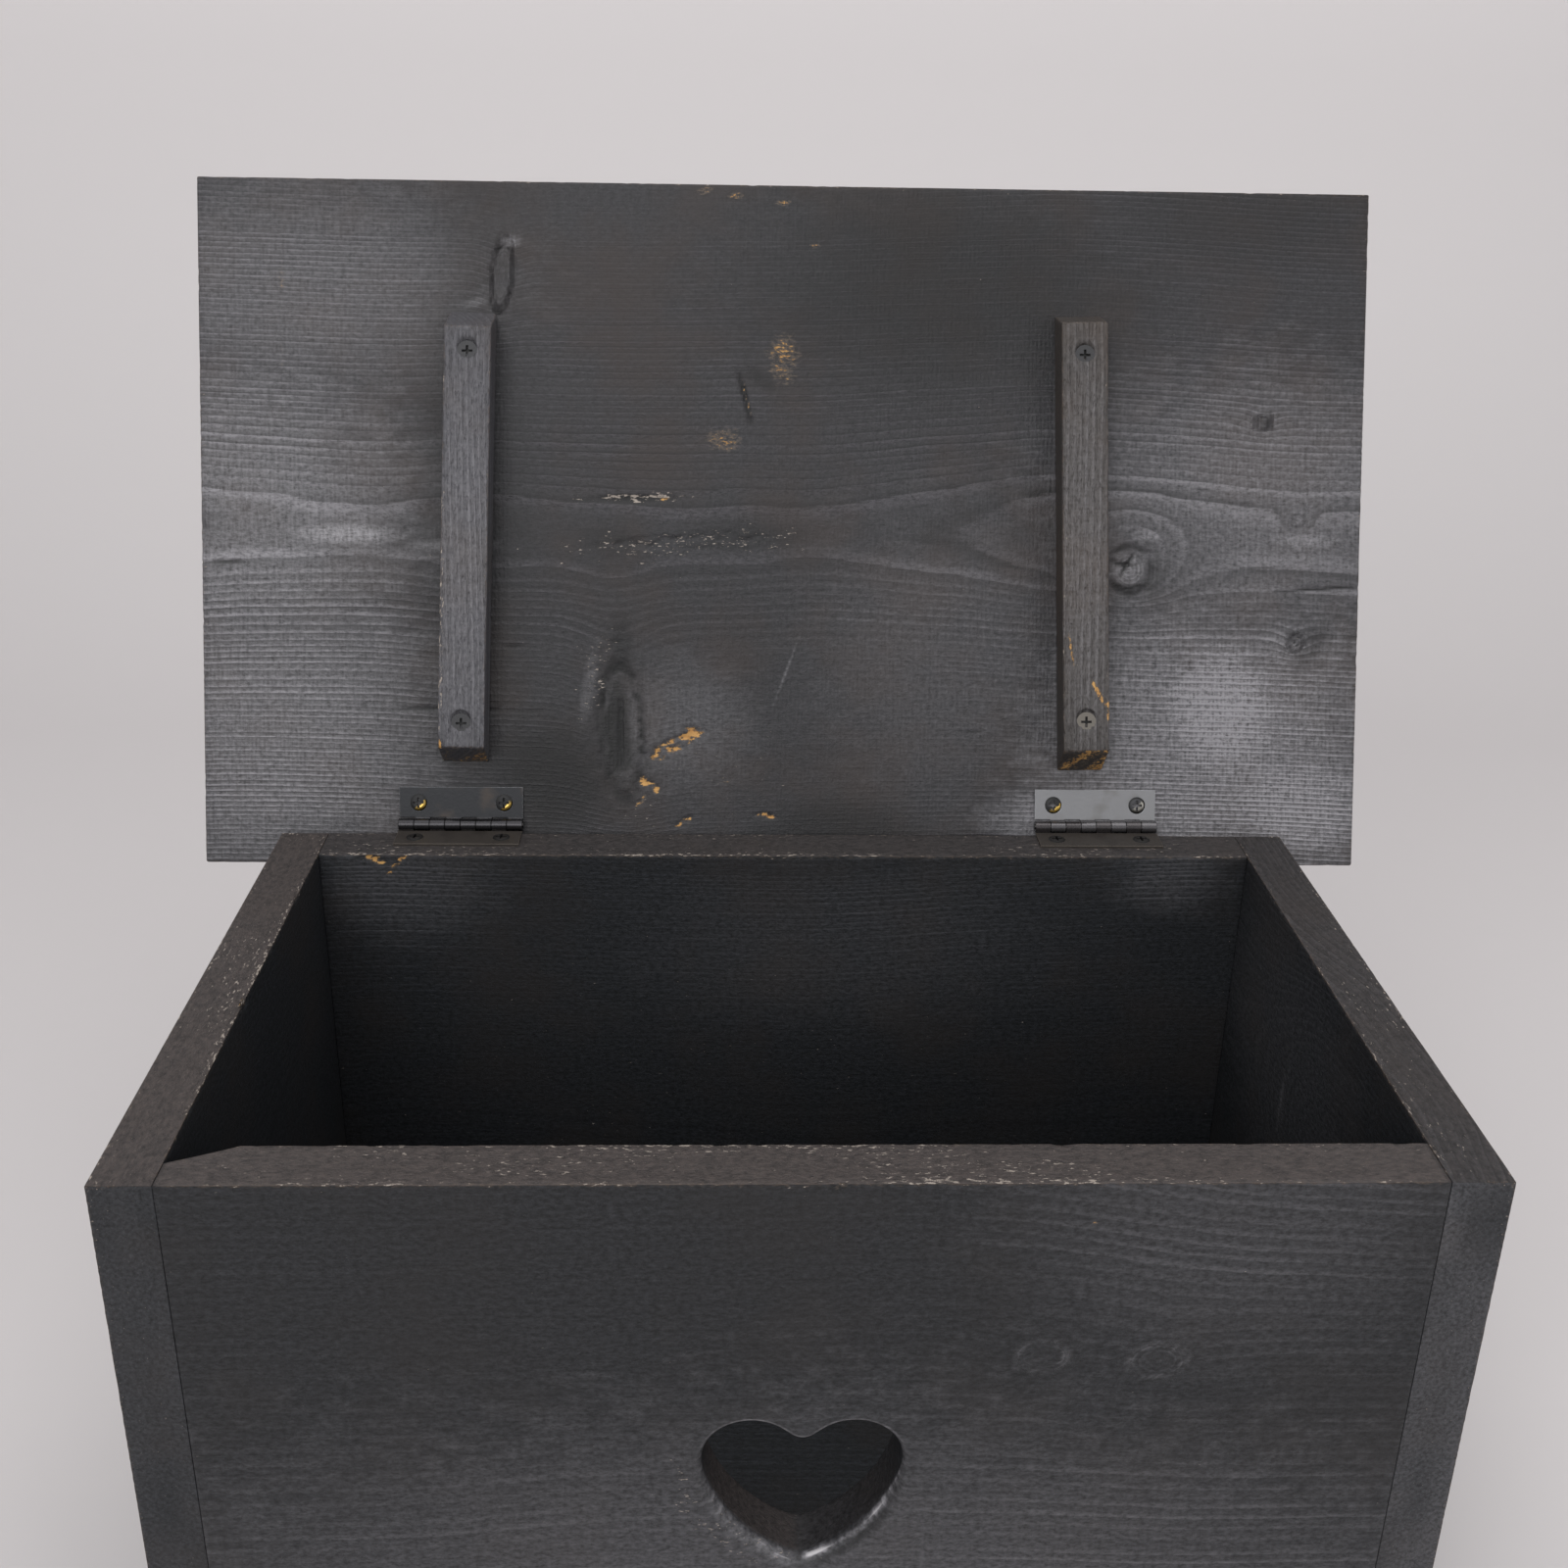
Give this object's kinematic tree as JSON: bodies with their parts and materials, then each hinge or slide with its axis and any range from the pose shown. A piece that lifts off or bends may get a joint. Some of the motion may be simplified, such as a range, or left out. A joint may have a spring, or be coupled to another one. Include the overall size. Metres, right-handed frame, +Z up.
{
  "type": "wooden toy box",
  "caption": "Black-stained wooden toy box with a heart-shaped hole in its front and a wide plank lid that hinges open on two butt hinges at the back.",
  "frame": {"origin": "middle of the box's footprint, on the underside of the bottom board, which the box rests on", "axes": "+Z up; the front with the heart faces -Y; the lid is hinged along X at the back, +Y; +X is to the right seen from the front"},
  "size_m": [0.463, 0.3398, 0.4662],
  "materials": {
    "stained_spruce": "satin black stain with the raised grain showing",
    "beech_dowel": "raw turned beech, glued",
    "hinge_steel": "satin black, edges rubbed bright",
    "pin_steel": "drawn steel, dulled",
    "brass_screw": "brass with black stain left on it",
    "blackened_screw": "black phosphate"
  },
  "bodies": {
    "box": {"back_board": "stained_spruce", "back_left_dowel_1": "beech_dowel", "back_left_dowel_2": "beech_dowel", "back_left_dowel_3": "beech_dowel", "back_right_dowel_1": "beech_dowel", "back_right_dowel_2": "beech_dowel", "back_right_dowel_3": "beech_dowel", "bottom_board": "stained_spruce", "bottom_screw_1": "blackened_screw", "bottom_screw_10": "blackened_screw", "bottom_screw_2": "blackened_screw", "bottom_screw_3": "blackened_screw", "bottom_screw_4": "blackened_screw", "bottom_screw_5": "blackened_screw", "bottom_screw_6": "blackened_screw", "bottom_screw_7": "blackened_screw", "bottom_screw_8": "blackened_screw", "bottom_screw_9": "blackened_screw", "front_board": "stained_spruce", "front_left_dowel_1": "beech_dowel", "front_left_dowel_2": "beech_dowel", "front_left_dowel_3": "beech_dowel", "front_right_dowel_1": "beech_dowel", "front_right_dowel_2": "beech_dowel", "front_right_dowel_3": "beech_dowel", "left_hinge_box_leaf": "hinge_steel", "left_hinge_box_screw_1": "brass_screw", "left_hinge_box_screw_2": "brass_screw", "left_hinge_pin": "pin_steel", "left_side_board": "stained_spruce", "right_hinge_box_leaf": "hinge_steel", "right_hinge_box_screw_1": "brass_screw", "right_hinge_box_screw_2": "brass_screw", "right_hinge_pin": "pin_steel", "right_side_board": "stained_spruce"},
    "lid": {"left_batten": "stained_spruce", "left_batten_screw_front": "blackened_screw", "left_batten_screw_rear": "blackened_screw", "left_hinge_lid_leaf": "hinge_steel", "left_hinge_lid_screw_1": "brass_screw", "left_hinge_lid_screw_2": "brass_screw", "lid_board": "stained_spruce", "right_batten": "stained_spruce", "right_batten_screw_front": "blackened_screw", "right_batten_screw_rear": "blackened_screw", "right_hinge_lid_leaf": "hinge_steel", "right_hinge_lid_screw_1": "brass_screw", "right_hinge_lid_screw_2": "brass_screw"}
  },
  "joints": [
    {"name": "lid_hinge", "type": "hinge", "parent": "box", "child": "lid", "pos_m": [0, 0.1196, 0.2284], "axis": [1, 0, 0], "range_deg": [0, 110.6]}
  ]
}
